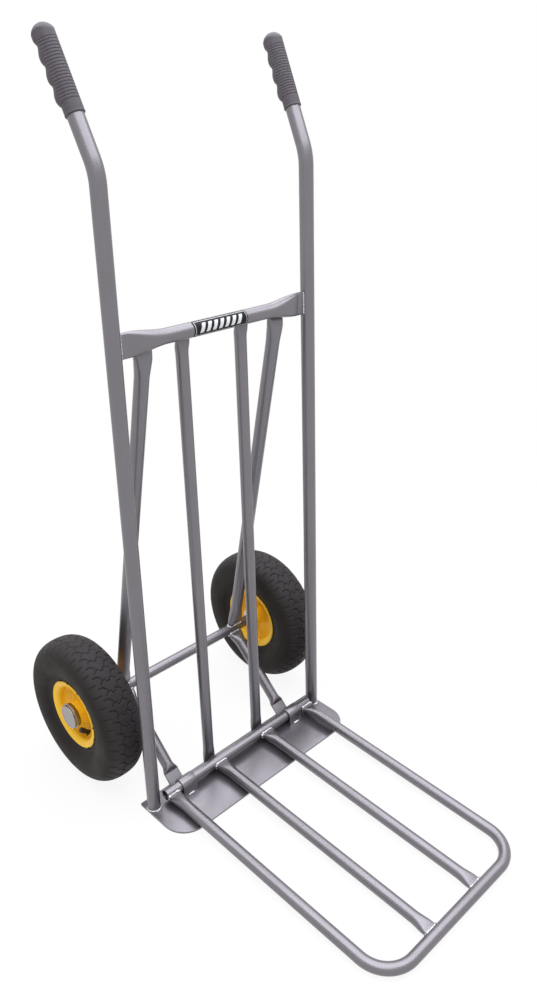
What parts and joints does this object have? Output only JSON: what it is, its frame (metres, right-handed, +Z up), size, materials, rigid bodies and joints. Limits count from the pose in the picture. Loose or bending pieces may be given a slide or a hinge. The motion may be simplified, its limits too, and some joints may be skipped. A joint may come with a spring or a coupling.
{
  "type": "hand truck",
  "caption": "Upright tube-frame sack truck with a flat toe plate, a hinged fold-down toe extension and two pneumatic wheels on a fixed rear axle.",
  "frame": {"origin": "on the floor under the middle of the footprint, wheels, toe plate and extension included", "axes": "+Z up, +X to the right-hand wheel, +Y from the toe extension towards the wheels"},
  "size_m": [0.4922, 0.7713, 1.1597],
  "materials": {
    "frame_paint": "satin metallic powder coat",
    "bright_steel": "bright",
    "cap_chrome": "polished",
    "rim_paint": "gloss paint",
    "tyre_rubber": "matt",
    "tube_rubber": "matt",
    "valve_rubber": "satin",
    "valve_plastic": "satin",
    "grip_plastic": "matt",
    "label": "gloss"
  },
  "bodies": {
    "frame": {"crossbar": "frame_paint", "axle_tube": "frame_paint", "axle_rod": "bright_steel", "toe_plate": "frame_paint", "front_label": "label", "left_rail": "frame_paint", "right_rail": "frame_paint", "left_slat": "frame_paint", "right_slat": "frame_paint", "left_rear_brace": "frame_paint", "right_rear_brace": "frame_paint", "left_lower_brace": "frame_paint", "right_lower_brace": "frame_paint", "left_hinge_strap": "frame_paint", "right_hinge_strap": "frame_paint", "left_grip": "grip_plastic", "right_grip": "grip_plastic", "left_inner_washer": "bright_steel", "right_inner_washer": "bright_steel", "left_outer_washer": "bright_steel", "right_outer_washer": "bright_steel", "left_axle_clip": "bright_steel", "right_axle_clip": "bright_steel", "left_inner_races": "bright_steel", "right_inner_races": "bright_steel"},
    "toe_extension": {"extension_pivot_tube": "frame_paint", "extension_hoop": "frame_paint", "left_extension_bar": "frame_paint", "right_extension_bar": "frame_paint"},
    "left_wheel": {"left_tyre": "tyre_rubber", "left_inner_tube": "tube_rubber", "left_rim_outer_half": "rim_paint", "left_rim_inner_half": "rim_paint", "left_hub": "rim_paint", "left_outer_races": "bright_steel", "left_bearing_balls": "bright_steel", "left_valve_stem": "valve_rubber", "left_valve_cap": "valve_plastic", "left_hub_cap": "cap_chrome"},
    "right_wheel": {"right_tyre": "tyre_rubber", "right_inner_tube": "tube_rubber", "right_rim_outer_half": "rim_paint", "right_rim_inner_half": "rim_paint", "right_hub": "rim_paint", "right_outer_races": "bright_steel", "right_bearing_balls": "bright_steel", "right_valve_stem": "valve_rubber", "right_valve_cap": "valve_plastic", "right_hub_cap": "cap_chrome"}
  },
  "joints": [
    {"name": "extension_fold", "type": "hinge", "parent": "frame", "child": "toe_extension", "pos_m": [0, 0.09175, 0.0195], "axis": [-1, 0, 0], "range_deg": [-2.5, 93]},
    {"name": "left_wheel_spin", "type": "hinge", "parent": "frame", "child": "left_wheel", "pos_m": [-0.208, 0.25575, 0.13], "axis": [1, 0, 0], "continuous": true},
    {"name": "right_wheel_spin", "type": "hinge", "parent": "frame", "child": "right_wheel", "pos_m": [0.208, 0.25575, 0.13], "axis": [1, 0, 0], "continuous": true}
  ]
}
